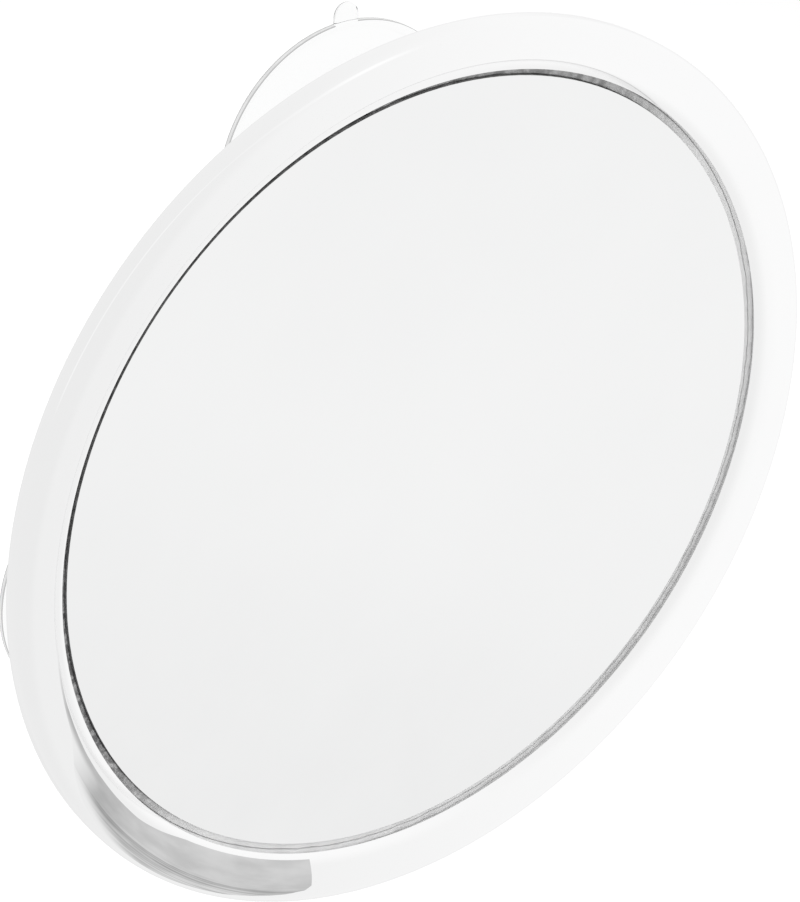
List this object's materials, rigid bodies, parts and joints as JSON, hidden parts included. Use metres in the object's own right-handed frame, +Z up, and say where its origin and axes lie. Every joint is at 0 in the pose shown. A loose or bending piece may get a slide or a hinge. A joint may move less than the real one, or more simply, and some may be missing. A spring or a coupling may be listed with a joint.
{
  "type": "suction cup makeup mirror",
  "caption": "Round makeup mirror: concave glass in a rounded plated ring, with a dished back shell that carries soft clear suction cups for a smooth wall.",
  "frame": {"origin": "on the plane of the wall, in the middle between the three suction cups", "axes": "+Y into the wall that the cups hold on to, +Z up, +X to the right of someone who faces the mirror; the glass looks along -Y"},
  "size_m": [0.1652, 0.0353, 0.1652],
  "materials": {
    "plated_ring": "bright plating on a moulded plastic ring",
    "silvered_glass": "polished",
    "adhesive": "dull dark sealant",
    "foam": "fine open foam",
    "shell_plastic": "satin",
    "screw_steel": "bright zinc",
    "soft_clear_plastic": "soft clear moulding"
  },
  "bodies": {
    "mirror_head": {"bezel_ring": "plated_ring", "mirror_glass": "silvered_glass", "edge_seal": "adhesive", "foam_pad": "foam", "back_shell": "shell_plastic", "back_screw_1": "screw_steel", "back_screw_2": "screw_steel", "back_screw_3": "screw_steel"},
    "top_stud": {"cup_top_stud": "soft_clear_plastic"},
    "top_bell": {"cup_top_bell": "soft_clear_plastic"},
    "left_stud": {"cup_left_stud": "soft_clear_plastic"},
    "left_bell": {"cup_left_bell": "soft_clear_plastic"},
    "right_stud": {"cup_right_stud": "soft_clear_plastic"},
    "right_bell": {"cup_right_bell": "soft_clear_plastic"}
  },
  "joints": [
    {"name": "cup_top_swivel", "type": "hinge", "parent": "mirror_head", "child": "top_stud", "pos_m": [0, 0, 0.0468], "axis": [0, 1, 0], "continuous": true},
    {"name": "cup_top_press", "type": "slide", "parent": "top_stud", "child": "top_bell", "axis": [0, -1, 0], "range_m": [0, 0.003], "stiffness_N_per_m": 1000, "deforming": ["cup_top_bell"]},
    {"name": "cup_left_swivel", "type": "hinge", "parent": "mirror_head", "child": "left_stud", "pos_m": [-0.04053, 0, -0.0234], "axis": [0, 1, 0], "continuous": true},
    {"name": "cup_left_press", "type": "slide", "parent": "left_stud", "child": "left_bell", "axis": [0, -1, 0], "range_m": [0, 0.003], "stiffness_N_per_m": 1000, "deforming": ["cup_left_bell"]},
    {"name": "cup_right_swivel", "type": "hinge", "parent": "mirror_head", "child": "right_stud", "pos_m": [0.04053, 0, -0.0234], "axis": [0, 1, 0], "continuous": true},
    {"name": "cup_right_press", "type": "slide", "parent": "right_stud", "child": "right_bell", "axis": [0, -1, 0], "range_m": [0, 0.003], "stiffness_N_per_m": 1000, "deforming": ["cup_right_bell"]}
  ]
}
